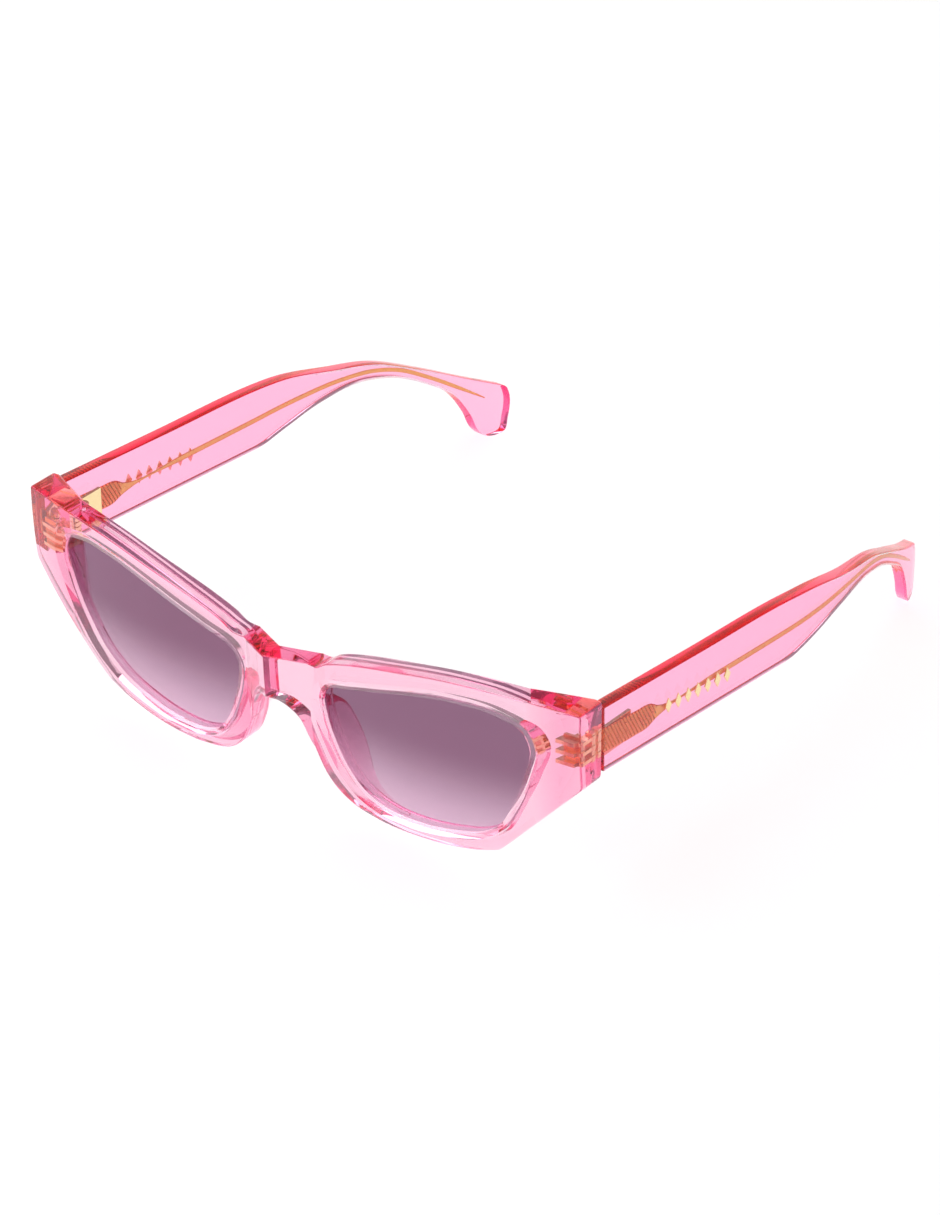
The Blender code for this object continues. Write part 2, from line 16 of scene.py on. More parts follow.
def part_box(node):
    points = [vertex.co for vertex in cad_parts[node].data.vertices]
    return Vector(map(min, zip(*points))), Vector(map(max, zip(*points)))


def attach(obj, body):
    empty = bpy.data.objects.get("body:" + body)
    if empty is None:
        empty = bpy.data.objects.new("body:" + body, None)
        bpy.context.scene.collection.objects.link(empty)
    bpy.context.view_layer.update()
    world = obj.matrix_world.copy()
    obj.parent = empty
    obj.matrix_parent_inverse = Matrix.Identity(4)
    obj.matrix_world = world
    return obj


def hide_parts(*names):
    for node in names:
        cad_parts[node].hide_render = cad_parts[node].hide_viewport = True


bl_info = {
    "name": "Cat Eye Sunglasses",
    "version": (1, 0, 0),
    "blender": (4, 5, 0),
    "location": "View3D > Sidebar > Sunglasses",
    "description": "Finishes a pair of cat eye sunglasses round their packed solid parts",
    "category": "Add Mesh",
}

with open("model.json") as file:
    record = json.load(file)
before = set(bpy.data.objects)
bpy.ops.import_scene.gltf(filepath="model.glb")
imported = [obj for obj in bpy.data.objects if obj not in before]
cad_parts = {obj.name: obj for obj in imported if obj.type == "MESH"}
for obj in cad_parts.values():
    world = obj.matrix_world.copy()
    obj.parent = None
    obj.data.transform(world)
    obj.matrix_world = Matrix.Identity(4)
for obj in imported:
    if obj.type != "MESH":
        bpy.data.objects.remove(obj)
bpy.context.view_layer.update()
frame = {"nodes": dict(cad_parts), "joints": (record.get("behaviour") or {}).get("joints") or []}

MM = 0.001
SIDES = (("left", 1), ("right", -1))
FRONT_BODY = "front_assembly"
HINGE_DEPTH = 13.4  # how far the hinge barrels stand behind the front's datum
HINGE_AT = Vector(frame["joints"][0]["pos_m"])
DATUM_Y = HINGE_AT.y / MM - HINGE_DEPTH
HALF_WIDTH = 71.7  # from the middle to the outer face of a temple
SHARP_ANGLE = math.radians(19.5)  # a steeper edge than this stays crisp
ROUND_STEPS = 6
NEAR = 0.0005  # points of a flat blank closer than this, in millimetres, are one
WELD = 1e-6  # the same for a bent mesh, in metres
TINY = 1e-6  # the least length that counts, in millimetres
NEAR_BEARINGS = 0.0012  # bearings closer than this, in radians, are one
UPWARD = 0.7  # a face whose normal rises more steeply than this looks up
LENGTH_SHARE = 0.7  # how much of the spacing along a temple's sides goes by length
OUTLINE_STEPS = 14  # points from one knot of an outline to the next
SUPPORT = 0.06  # a narrow strip beside each rounded edge, which keeps the flat faces flat in the light

# The front: knots of the half outline, run by run between its corners, from the bridge round to the bridge
FRONT_RUNS = (
    ((-2.0, 34.5), (8.3, 33.8)),
    (
        (8.3, 33.8),
        (10.8, 34.2),
        (13.6, 36.0),
        (18.5, 38.1),
        (24.0, 39.8),
        (33.0, 41.8),
        (42.0, 43.3),
        (51.0, 43.9),
        (60.0, 43.8),
        (71.7, 42.9),
    ),
    ((71.7, 42.9), (71.5, 25.6)),
    ((71.5, 25.6), (51.3, 3.4)),
    (
        (51.3, 3.4),
        (47.0, 1.8),
        (41.0, 0.6),
        (32.0, 0.0),
        (23.0, 0.6),
        (16.4, 2.4),
        (11.4, 6.8),
        (8.0, 13.8),
        (5.1, 21.4),
        (2.0, 24.0),
        (-2.0, 24.4),
    ),
    ((-2.0, 24.4), (-2.0, 34.5)),
)
FRONT_CORNERS = (0.01, 1.2, 0.7, 1.0, 1.0, 0.01)  # how far each run's first corner is rounded
FACE_ROWS = 9
BACK_ROWS = 11
# The foot of the rims has a rounder edge: below this height, outwards of this x, each over a short fade
FOOT_TOP = 5.0
FOOT_RISE = 4.0
FOOT_INNER = 8.0
FOOT_SPREAD = 8.0
OPENING = (
    (12.3, 28.8),
    (19.5, 32.0),
    (26.4, 34.2),
    (34.0, 36.4),
    (44.5, 38.3),
    (54.4, 38.0),
    (59.2, 36.0),
    (60.7, 32.6),
    (59.4, 25.8),
    (55.5, 16.0),
    (52.2, 10.4),
    (47.6, 6.6),
    (40.0, 4.2),
    (31.5, 3.1),
    (24.2, 3.7),
    (19.2, 5.9),
    (15.8, 10.0),
    (13.2, 15.6),
    (11.3, 22.0),
    (11.0, 26.2),
)
OPENING_STEPS = 10
LENS_CENTRE = (35.0, 21.0)
BASE_RADIUS = 130.0
BASE_APEX = (26.0, 40.5)
BASE_SAG = 4.4
NOSE_FLATTENING = 0.45
FULL_CURVE_X = 50.0
RIDGE_HALF_WIDTH = 8.3
RIDGE_SLOPE = 0.45
ENDPIECE_BACK = 10.6
ENDPIECE_STEP_X = 58.5
ENDPIECE_STEP_SLOPE = 0.9
ENDPIECE_STEP_TOP_X = 62.6  # about where the step reaches the flat back, at the foot of the endpiece
FACET_CORNER = (71.7, 43.9)  # where the upper facet of the endpiece reaches its flat back, at the outer top
FACET_RISE = (0.4318, 0.7703)  # how fast that facet comes forward, inwards and upwards
CREASES = (
    ((RIDGE_HALF_WIDTH, 0.0), (1.0, 0.0)),
    ((ENDPIECE_STEP_X, 0.0), (1.0, 0.0)),
    ((ENDPIECE_STEP_TOP_X, 0.0), (1.0, 0.0)),
    (FACET_CORNER, FACET_RISE[:1] + (-FACET_RISE[1],)),
)
GROOVE = (2.0, 4.4)
GROOVE_REACH = 1.3
BACK_FROM = GROOVE[1] - 0.1  # deeper than this is the back of a rim
LENS_DEPTHS = (2.3, 4.1)
LENS_REACH = 1.0
LENS_BEVEL = 0.6
LENS_RIDGE_HALF = 0.25
LENS_STEPS = 8
LENS_ROWS = 22
PAD_START = 5.5
PAD_STEPS = 8
PAD_SIDES = 40
PAD_ROUNDNESS = 0.8  # 1 gives an elliptical section, less a squarer one
PAD_LEAN = 0.2  # the pads open outwards towards the face
# A nose pad: x, height, half width and depth along its middle, from the top to where it fades into the rim
NOSE_PAD = (
    (8.6, 23.7, 0.5, 1.4),
    (9.3, 21.4, 1.8, 3.5),
    (10.5, 17.4, 2.3, 4.6),
    (12.1, 12.8, 2.4, 4.8),
    (13.8, 9.0, 2.2, 4.1),
    (16.2, 5.9, 1.7, 2.7),
    (19.8, 3.6, 1.1, 1.4),
    (24.0, 2.4, 0.7, 0.6),
    (27.5, 2.0, 0.3, 0.2),
)

# A temple: runs of its side outline, from the top of the front end round to the bottom of the front end
TEMPLE_FRONT = 10.9
TEMPLE_RUNS = (
    (
        (TEMPLE_FRONT, 41.4),
        (42.0, 38.65),
        (73.5, 35.8),
        (81.0, 34.6),
        (95.0, 31.0),
        (107.0, 28.0),
        (120.0, 21.9),
        (131.0, 16.0),
        (139.2, 11.9),
    ),
    (
        (139.2, 11.9),
        (139.8, 9.6),
        (139.4, 4.0),
        (138.4, 0.5),
        (136.3, 0.0),
        (134.2, 0.5),
        (132.8, 2.0),
        (130.6, 7.2),
        (127.0, 13.0),
        (120.0, 18.3),
        (112.0, 22.8),
        (104.0, 24.9),
        (92.0, 24.4),
        (81.0, 22.6),
        (73.5, 21.4),
    ),
    ((73.5, 21.4), (TEMPLE_FRONT, 26.5)),
    ((TEMPLE_FRONT, 26.5), (TEMPLE_FRONT, 41.4)),
)
TEMPLE_CORNERS = (0.5, 0.8, 2.2, 0.5)
FOOT_SPLIT = (136.3, 0.0)
SIDE_POINTS = (260, 34, 260, 34)  # along the top, down the end, back along the lower edge, up the front
SWEEP_START = 73.5
SWEEP_RADIUS = 145.0

# The metal core of a temple: distance back, height and half width
CORE = (
    (TEMPLE_FRONT + 0.2, 33.2, 2.8),
    (22.0, 32.0, 2.8),
    (26.2, 31.6, 2.6),
    (29.2, 31.2, 1.3),
    (31.6, 31.0, 0.7),
    (48.0, 30.0, 0.65),
    (61.0, 29.1, 0.6),
    (74.5, 28.2, 0.55),
    (86.0, 27.7, 0.55),
    (98.0, 27.2, 0.5),
    (107.0, 26.1, 0.5),
    (114.0, 23.8, 0.5),
    (121.0, 19.7, 0.45),
    (129.0, 14.2, 0.4),
    (134.8, 10.0, 0.12),
)
CORE_STEPS = 60
CORE_ACROSS = 17
WIRE_FROM = 18.5  # how far along the core the wider spacing of the wire starts
WIRE_STEP = 0.6
POINT_LENGTH = 3.0  # the wire thins over this length to its point
POINT_SPARE = 0.3
POINT_LEAST = 0.1
CORE_DEPTH = 1.5
CORE_HALF_THICKNESS = 0.4
CORE_SQUARENESS = 6.0  # 2 gives an elliptical section, more a squarer one
REED_END = 29.0
REED_PITCH = 1.0
REED_DEPTH = 0.24
REED_STEP = 0.12
REED_FADE = 1.5
REED_SLANT = 0.68  # the reeds lean: how far back each goes for its drop

# The ornaments of a temple: lozenges in a row that follows its core
ORNAMENTS = 7
ORNAMENT_START = (31.7, 31.5)
ORNAMENT_STEP = (3.25, -0.442)
ORNAMENT_HALF = (1.0, 1.7)
ORNAMENT_PROUD = 0.3
ORNAMENT_BEVEL = 0.12
ORNAMENT_SUNK = 0.05

# The stage, in metres
FLOOR_REACH = 6.0
FLOOR_DROP = 0.0002
LAMP_SIZE = (2.4, 1.8)
LAMP_PLACE = (-0.5, -0.3, 1.4)
SWEEP_FADE = 0.6  # the share of the sweep's height at which it starts to turn grey


# Outlines


def lengths(points):
    """Distance travelled along a line of points."""
    steps = np.linalg.norm(np.diff(points, axis=0), axis=1)
    return np.concatenate([[0.0], np.cumsum(steps)])


def smooth_run(knots, steps):
    """A cubic Hermite curve through the knots.

    A tangent is the mean of the directions of its two chords, each weighted by the other chord's length.
    """
    knots = np.array(knots, float)
    if len(knots) == 2:
        t = np.linspace(0, 1, steps * 2 + 1)[:, None]
        return knots[0] + (knots[1] - knots[0]) * t
    chords = np.diff(knots, axis=0)
    spans = np.linalg.norm(chords, axis=1)[:, None]
    slopes = chords / spans
    inner = (slopes[:-1] * spans[1:] + slopes[1:] * spans[:-1]) / (spans[1:] + spans[:-1])
    tangents = np.concatenate([slopes[:1], inner, slopes[-1:]])
    t = np.linspace(0, 1, steps, endpoint=False)[None, :, None]
    a, b = knots[:-1, None], knots[1:, None]
    m, n = (tangents[:-1] * spans)[:, None], (tangents[1:] * spans)[:, None]
    curve = (2 * t**3 - 3 * t**2 + 1) * a + (t**3 - 2 * t**2 + t) * m
    curve = curve + (3 * t**2 - 2 * t**3) * b + (t**3 - t**2) * n
    return np.concatenate([curve.reshape(-1, knots.shape[1]), knots[-1:]])


def closed_curve(knots, steps):
    """The same curve closed on itself, made by running past both ends and keeping one turn."""
    count = len(knots)
    run = smooth_run(tuple(knots[-3:]) + tuple(knots) + tuple(knots[:3]), steps)
    return run[3 * steps : (3 + count) * steps]


def trimmed(run, start, end):
    """A run with a length taken off each end."""
    along = lengths(run)
    low, high = start, along[-1] - end
    ends = [np.array([np.interp(at, along, column) for column in run.T]) for at in (low, high)]
    inside = run[(along > low + TINY) & (along < high - TINY)]
    return np.concatenate([ends[0][None], inside, ends[1][None]])


def rounded_outline(runs, corners, steps):
    """Runs joined into a closed outline, each corner a quadratic arc between its runs' trimmed ends."""
    curves = [smooth_run(run, steps) for run in runs]
    count = len(curves)
    cut = [trimmed(c, corners[i], corners[(i + 1) % count]) for i, c in enumerate(curves)]
    t = np.linspace(0, 1, 2 * ROUND_STEPS)[1:-1, None]
    parts = []
    for i, curve in enumerate(curves):
        corner, after = curve[-1], cut[(i + 1) % count][0]
        parts += [cut[i], (1 - t) ** 2 * cut[i][-1] + 2 * t * (1 - t) * corner + t**2 * after]
    return np.concatenate(parts)


def outward(ring):
    """Unit normals of a closed outline, square to the chord between each point's neighbours."""
    chord = np.roll(ring, -1, axis=0) - np.roll(ring, 1, axis=0)
    turn = np.stack([chord[:, 1], -chord[:, 0]], axis=1)
    turn /= np.maximum(np.linalg.norm(turn, axis=1, keepdims=True), TINY)
    after = np.roll(ring, -1, axis=0)
    area = np.sum(ring[:, 0] * after[:, 1] - after[:, 0] * ring[:, 1])
    return turn * np.sign(area)


def by_bearing(ring, bearings):
    """The outline and its normals at bearings from the lens centre; every ray meets the outline once."""
    spokes = ring - LENS_CENTRE
    angle = np.arctan2(spokes[:, 1], spokes[:, 0])
    order = np.argsort(angle)
    turn = angle[order]
    values = np.concatenate([ring, outward(ring)], axis=1)[order]
    columns = [np.interp(bearings, turn, column, period=2 * math.pi) for column in values.T]
    picked = np.stack(columns, axis=1)
    normals = picked[:, 2:] / np.linalg.norm(picked[:, 2:], axis=1, keepdims=True)
    return picked[:, :2], normals


def bearings_of(*rings):
    """All the bearings at which the outlines have a point, without near doubles."""
    every = np.sort(np.concatenate([np.arctan2(*(ring - LENS_CENTRE).T[::-1]) for ring in rings]))
    return every[np.concatenate([[True], np.diff(every) > NEAR_BEARINGS])]


# Bending


def front_surface(x, z):
    """Depth of the front face, a shallow bowl with a ridge at the middle.

    It is the squared distance from the apex over twice the base radius, less the sag. The upright part
    of that square shrinks towards the nose. Within the ridge the face stays level and comes forward
    in proportion to the distance from the ridge's edge.
    """
    across = np.abs(x)
    beyond = np.maximum(across, RIDGE_HALF_WIDTH)
    upright = 1 - NOSE_FLATTENING * (1 - np.minimum(across / FULL_CURVE_X, 1))
    squares = (beyond - BASE_APEX[0]) ** 2 + upright * (z - BASE_APEX[1]) ** 2
    ridge = RIDGE_SLOPE * np.maximum(RIDGE_HALF_WIDTH - across, 0)
    return squares / (2 * BASE_RADIUS) - BASE_SAG - ridge


def bend_front(flat):
    """Flat (x, z, depth) to the bent front: a point goes back by the depth of the face there."""
    x, z, depth = flat.T
    return np.stack([x, front_surface(x, z) + depth, z], axis=1)


def bend_temple(flat):
    """Flat (y, z, depth) to the left temple.

    Behind the kink a point moves in by its squared distance from it over twice the sweep radius.
    """
    y, z, depth = flat.T
    swept = np.maximum(y - SWEEP_START, 0) ** 2 / (2 * SWEEP_RADIUS)
    return np.stack([HALF_WIDTH - depth - swept, y, z], axis=1)


# Meshes


def ring_faces(rows, columns, closed_rows=False):
    """Four-sided faces of a grid whose rows are rings."""
    index = np.arange(rows * columns).reshape(rows, columns)
    above = np.roll(index, -1, axis=0) if closed_rows else index[1:]
    below = index if closed_rows else index[:-1]
    quads = [below, np.roll(below, -1, axis=1), np.roll(above, -1, axis=1), above]
    return np.stack(quads, axis=-1).reshape(-1, 4)


def along_line(line, half, across):
    """Rows of points square to a flat line, each off it by its half width times a value of across."""
    tangent = np.gradient(line, axis=0)
    tangent /= np.linalg.norm(tangent, axis=1, keepdims=True)
    square = np.stack([-tangent[:, 1], tangent[:, 0]], axis=1)
    return line[:, None] + square[:, None] * (half[:, None] * across)[..., None]


def capped(rows):
    """Points and faces of a tube of rings, closed at each end by a fan from the middle of its ring."""
    first, last = (np.broadcast_to(ring.mean(axis=0), ring.shape) for ring in (rows[0], rows[-1]))
    rows = np.concatenate([first[None], rows, last[None]])
    return rows.reshape(-1, 3), ring_faces(rows.shape[0], rows.shape[1])


def sheet_faces(index):
    """Four-sided faces of a plain grid of vertex numbers."""
    quads = [index[:-1, :-1], index[:-1, 1:], index[1:, 1:], index[1:, :-1]]
    return np.stack(quads, axis=-1).reshape(-1, 4)


def solid_of(points, faces, creases=(), middle=False):
    """A bmesh of the points and faces, with an edge at each crease and, if asked, only its x > 0 half."""
    mesh = bpy.data.meshes.new("blank")
    mesh.from_pydata(points.tolist(), [], [face.tolist() for face in faces])
    solid = bmesh.new()
    solid.from_mesh(mesh)
    bpy.data.meshes.remove(mesh)
    bmesh.ops.remove_doubles(solid, verts=solid.verts, dist=NEAR)
    for place, across in creases:
        everything = solid.verts[:] + solid.edges[:] + solid.faces[:]
        bmesh.ops.bisect_plane(
            solid, geom=everything, dist=NEAR, plane_co=(*place, 0), plane_no=(*across, 0)
        )
    if middle:
        everything = solid.verts[:] + solid.edges[:] + solid.faces[:]
        bmesh.ops.bisect_plane(
            solid, geom=everything, dist=NEAR, plane_co=(0, 0, 0), plane_no=(1, 0, 0), clear_inner=True
        )
    return solid


def coordinates(mesh):
    """The places of a mesh's vertices, one row each."""
    values = np.empty(len(mesh.vertices) * 3, np.float32)
    mesh.vertices.foreach_get("co", values)
    return values.reshape(-1, 3).astype(float)


def mark_painted_top_shade(mesh, half_width):
    """Stores 1 at the corners of faces that look up, within a half width of the middle, and 0 elsewhere; the
    1s get the acetate's painted shade.
    """
    up = np.empty(len(mesh.polygons) * 3, np.float32)
    middle = np.empty(len(mesh.polygons) * 3, np.float32)
    mesh.polygons.foreach_get("normal", up)
    mesh.polygons.foreach_get("center", middle)
    near = np.abs(middle.reshape(-1, 3)[:, 0]) < half_width * MM
    marked = (up.reshape(-1, 3)[:, 2] > UPWARD) & near
    corners = np.empty(len(mesh.polygons), np.int32)
    mesh.polygons.foreach_get("loop_total", corners)
    layer = mesh.attributes.new("painted_top_shade", "FLOAT", "CORNER")
    layer.data.foreach_set("value", np.repeat(marked, corners).astype(np.float32))


def add_piece(name, solid, bend, side, material, body, stands_for, mirrored=False):
    """Bends a flat solid, puts it in place in metres, parents it to its body and hides the parts that it
    stands for.
    """
    mesh = bpy.data.meshes.new(name)
    solid.to_mesh(mesh)
    solid.free()
    placed = bend(coordinates(mesh)) + (0.0, DATUM_Y, 0.0)
    placed[:, 0] *= side
    mesh.vertices.foreach_set("co", (placed * MM).ravel())
    tidy = bmesh.new()
    tidy.from_mesh(mesh)
    if mirrored:
        copy = bmesh.ops.duplicate(tidy, geom=tidy.verts[:] + tidy.edges[:] + tidy.faces[:])["geom"]
        points = [part for part in copy if isinstance(part, bmesh.types.BMVert)]
        bmesh.ops.scale(tidy, verts=points, vec=(-1, 1, 1))
    bmesh.ops.remove_doubles(tidy, verts=tidy.verts, dist=WELD)
    bmesh.ops.recalc_face_normals(tidy, faces=tidy.faces)
    tidy.to_mesh(mesh)
    tidy.free()
    mesh.shade_smooth()
    mesh.set_sharp_from_angle(angle=SHARP_ANGLE)
    mesh.materials.append(material)
    piece = bpy.data.objects.new(name, mesh)
    bpy.context.scene.collection.objects.link(piece)
    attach(piece, body)
    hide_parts(*([stands_for] if isinstance(stands_for, str) else stands_for))
    return piece


def round_over(radius, outer):
    """Steps of a quarter round of a radius, as (inset, deep), from the wall to the face or back."""
    a = np.linspace(0, math.pi / 2, ROUND_STEPS)
    steps = np.stack([1 - np.cos(a), 1 - np.sin(a)], axis=1)
    return [(radius * inset, radius * deep) for inset, deep in (steps if outer else steps[::-1])]


# Finishes


def new_material(name):
    """A material with its nodes, its links and its main shader."""
    material = bpy.data.materials.new(name)
    material.use_nodes = True
    nodes, links = material.node_tree.nodes, material.node_tree.links
    return material, nodes, links, nodes["Principled BSDF"]


def polish(nodes, links, shader, low, high, scale):
    """Roughness that wanders a little from place to place, as on a hand polished face."""
    place = nodes.new("ShaderNodeTexCoord")
    noise = nodes.new("ShaderNodeTexNoise")
    noise.inputs["Scale"].default_value = scale
    noise.inputs["Detail"].default_value = 4.0
    spread = nodes.new("ShaderNodeMapRange")
    spread.inputs["To Min"].default_value = low
    spread.inputs["To Max"].default_value = high
    links.new(place.outputs["Object"], noise.inputs["Vector"])
    links.new(noise.outputs["Fac"], spread.inputs["Value"])
    links.new(spread.outputs["Result"], shader.inputs["Roughness"])
    return noise


def acetate(name, colour, density, edge):
    """Clear polished acetate that reddens with the light's path through it, with painted shade, a deeper
    red, on its faces that look up.
    """
    material, nodes, links, shader = new_material(name)
    # Painted shade: faces that look up take the edge colour, a deeper red standing for the light's longer
    # path through the acetate there
    upward = nodes.new("ShaderNodeAttribute")
    upward.attribute_name = "painted_top_shade"
    tone = nodes.new("ShaderNodeMix")
    tone.data_type = "RGBA"
    tone.inputs["A"].default_value = (1.0, 0.985, 0.99, 1.0)
    tone.inputs["B"].default_value = (*edge, 1.0)
    links.new(upward.outputs["Fac"], tone.inputs["Factor"])
    links.new(tone.outputs["Result"], shader.inputs["Base Color"])
    shader.inputs["IOR"].default_value = 1.49
    shader.inputs["Transmission Weight"].default_value = 1.0
    polish(nodes, links, shader, low=0.0, high=0.05, scale=160.0)
    depth = nodes.new("ShaderNodeVolumeAbsorption")
    depth.inputs["Color"].default_value = (*colour, 1.0)
    depth.inputs["Density"].default_value = density
    links.new(depth.outputs["Volume"], nodes["Material Output"].inputs["Volume"])
    return material


def tinted_lens(name, top, bottom, high, low):
    """A lens whose tint fades from the top colour to the bottom one with height."""
    material, nodes, links, shader = new_material(name)
    shader.inputs["IOR"].default_value = 1.12  # below a real lens's, so that its faces reflect little
    shader.inputs["Transmission Weight"].default_value = 1.0
    shader.inputs["Roughness"].default_value = 0.0
    place = nodes.new("ShaderNodeTexCoord")
    split = nodes.new("ShaderNodeSeparateXYZ")
    height = nodes.new("ShaderNodeMapRange")
    height.inputs["From Min"].default_value = low
    height.inputs["From Max"].default_value = high
    ramp = nodes.new("ShaderNodeValToRGB")
    ramp.color_ramp.elements[0].color = (*bottom, 1.0)
    ramp.color_ramp.elements[1].color = (*top, 1.0)
    ramp.color_ramp.elements[1].position = 0.65
    ramp.color_ramp.interpolation = "EASE"
    links.new(place.outputs["Object"], split.inputs["Vector"])
    links.new(split.outputs["Z"], height.inputs["Value"])
    links.new(height.outputs["Result"], ramp.inputs["Fac"])
    links.new(ramp.outputs["Color"], shader.inputs["Base Color"])
    return material


def plated(name, colour, shade, low, high):
    """Gold plate, a little darker in patches, with a fine satin grain."""
    material, nodes, links, shader = new_material(name)
    shader.inputs["Metallic"].default_value = 1.0
    noise = polish(nodes, links, shader, low, high, scale=900.0)
    tone = nodes.new("ShaderNodeMix")
    tone.data_type = "RGBA"
    tone.inputs["A"].default_value = (*shade, 1.0)
    tone.inputs["B"].default_value = (*colour, 1.0)
    links.new(noise.outputs["Fac"], tone.inputs["Factor"])
    links.new(tone.outputs["Result"], shader.inputs["Base Color"])
    bump = nodes.new("ShaderNodeBump")
    bump.inputs["Strength"].default_value = 0.08
    bump.inputs["Distance"].default_value = 0.0001
    links.new(noise.outputs["Fac"], bump.inputs["Height"])
    links.new(bump.outputs["Normal"], shader.inputs["Normal"])
    return material


def finished(name, make):
    """A finish by name, made the first time that it is asked for."""
    return bpy.data.materials.get(name) or make(name)


def front_acetate():
    """The acetate of the front and its nose pads."""
    settings = bpy.context.scene.sunglasses_acetate
    return finished(
        "pink_acetate_front",
        lambda name: acetate(name, settings.front_colour, settings.front_density, settings.front_painted_top_shade),
    )


def temple_acetate():
    """The acetate of the temples, deeper in colour than the front's."""
    settings = bpy.context.scene.sunglasses_acetate
    return finished(
        "pink_acetate_temple",
        lambda name: acetate(name, settings.temple_colour, settings.temple_density, settings.temple_painted_top_shade),
    )


def lens_tint():
    """The tint of the lenses, which fades over the height of a lens."""
    settings = bpy.context.scene.sunglasses_lens
    low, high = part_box("lens_left")
    return finished(
        "gradient_lens", lambda name: tinted_lens(name, settings.top, settings.bottom, high.z, low.z)
    )


def core_gold():
    """The satin gold of the cores."""
    settings = bpy.context.scene.sunglasses_metal
    return finished(
        "satin_gold", lambda name: plated(name, settings.core, settings.core_shade, low=0.22, high=0.38)
    )


def hinge_gold():
    """The pale gold of hinges, screws and ornaments."""
    settings = bpy.context.scene.sunglasses_metal
    return finished(
        "pale_gold_plate", lambda name: plated(name, settings.pale, settings.pale_shade, low=0.14, high=0.26)
    )


# Settings


class AcetateSettings(bpy.types.PropertyGroup):
    """Sizes and colours of the acetate."""

    thickness: bpy.props.FloatProperty(
        name="Front thickness", description="Thickness of the rims, in millimetres", default=5.2, min=3.0
    )
    temple_thickness: bpy.props.FloatProperty(
        name="Temple thickness",
        description="Thickness of the temples, in millimetres",
        default=3.0,
        min=1.5,
    )
    edge: bpy.props.FloatProperty(
        name="Edge round",
        description="Radius of the polished edges, in millimetres",
        default=0.35,
        min=0.05,
    )
    lower_edge: bpy.props.FloatProperty(
        name="Lower edge round",
        description="Radius along the foot of the rims, in millimetres",
        default=0.9,
        min=0.05,
    )
    bevel_depth: bpy.props.FloatProperty(
        name="Rim bevel depth",
        description="Depth of the bevel round each lens, in millimetres",
        default=1.1,
        min=0.2,
    )
    bevel_low: bpy.props.FloatProperty(
        name="Rim bevel, low",
        description="Width of that bevel at the foot, in millimetres",
        default=0.6,
        min=0.1,
    )
    bevel_growth: bpy.props.FloatProperty(
        name="Rim bevel growth",
        description="How much wider the bevel gets per millimetre of height",
        default=0.055,
    )
    front_colour: bpy.props.FloatVectorProperty(
        name="Front colour",
        description="What the front lets through",
        subtype="COLOR",
        default=(0.965, 0.07, 0.46),
    )
    temple_colour: bpy.props.FloatVectorProperty(
        name="Temple colour",
        description="What the temples let through",
        subtype="COLOR",
        default=(1.0, 0.07, 0.55),
    )
    # Painted shade of the bridge's top, a deeper red for the light's longer path through the acetate there
    front_painted_top_shade: bpy.props.FloatVectorProperty(
        name="Front edge", description="Tint of the bridge's top", subtype="COLOR", default=(1.0, 0.45, 0.6)
    )
    # Painted shade of the temples' top faces, a deeper red for the light's longer path through the acetate
    # there
    temple_painted_top_shade: bpy.props.FloatVectorProperty(
        name="Temple edge",
        description="Tint of the temples' top edge",
        subtype="COLOR",
        default=(1.0, 0.2, 0.14),
    )
    front_density: bpy.props.FloatProperty(
        name="Front density", description="Depth of colour of the front", default=90.0, min=0.0
    )
    temple_density: bpy.props.FloatProperty(
        name="Temple density", description="Depth of colour of the temples", default=214.0, min=0.0
    )


class LensSettings(bpy.types.PropertyGroup):
    """Tint of the lenses."""

    top: bpy.props.FloatVectorProperty(
        name="Top tint",
        description="Tint at the top of a lens",
        subtype="COLOR",
        default=(0.27, 0.14, 0.22),
    )
    bottom: bpy.props.FloatVectorProperty(
        name="Bottom tint",
        description="Tint at the foot of a lens",
        subtype="COLOR",
        default=(0.70, 0.49, 0.63),
    )


class MetalSettings(bpy.types.PropertyGroup):
    """Colours of the metal."""

    core: bpy.props.FloatVectorProperty(
        name="Core", description="Gold of the temple cores", subtype="COLOR", default=(0.95, 0.68, 0.19)
    )
    core_shade: bpy.props.FloatVectorProperty(
        name="Core shade",
        description="Darker gold of the cores",
        subtype="COLOR",
        default=(0.80, 0.52, 0.13),
    )
    pale: bpy.props.FloatVectorProperty(
        name="Pale gold",
        description="Gold of hinges and ornaments",
        subtype="COLOR",
        default=(0.98, 0.80, 0.46),
    )
    pale_shade: bpy.props.FloatVectorProperty(
        name="Pale gold shade", description="Darker pale gold", subtype="COLOR", default=(0.90, 0.68, 0.36)
    )


class StageSettings(bpy.types.PropertyGroup):
    """Camera and light."""

    azimuth: bpy.props.FloatProperty(
        name="Azimuth",
        description="Camera direction round the object",
        subtype="ANGLE",
        default=math.radians(39.08),
    )
    elevation: bpy.props.FloatProperty(
        name="Elevation",
        description="Camera height as an angle",
        subtype="ANGLE",
        default=math.radians(31.8),
    )
    roll: bpy.props.FloatProperty(
        name="Roll",
        description="Camera turn about its own axis",
        subtype="ANGLE",
        default=math.radians(-0.68),
    )
    focal: bpy.props.FloatProperty(
        name="Focal length", description="Lens of the camera", unit="CAMERA", default=209.67, min=10.0
    )
    eye: bpy.props.FloatVectorProperty(
        name="Eye",
        description="Camera place",
        subtype="XYZ",
        unit="LENGTH",
        default=(0.6114, -0.7607, 0.6149),
    )
    horizon: bpy.props.FloatProperty(
        name="Horizon", description="Strength of the white sweep", default=1.0, min=0.0
    )
    ceiling: bpy.props.FloatProperty(
        name="Ceiling", description="Strength of the grey above", default=0.3, min=0.0
    )
    sweep: bpy.props.FloatProperty(
        name="Sweep", description="How high the sweep reaches", subtype="ANGLE", default=math.radians(30.0)
    )
    lamp: bpy.props.FloatProperty(
        name="Lamp", description="Power of the soft overhead lamp", unit="POWER", default=27.0, min=0.0
    )


# Pieces


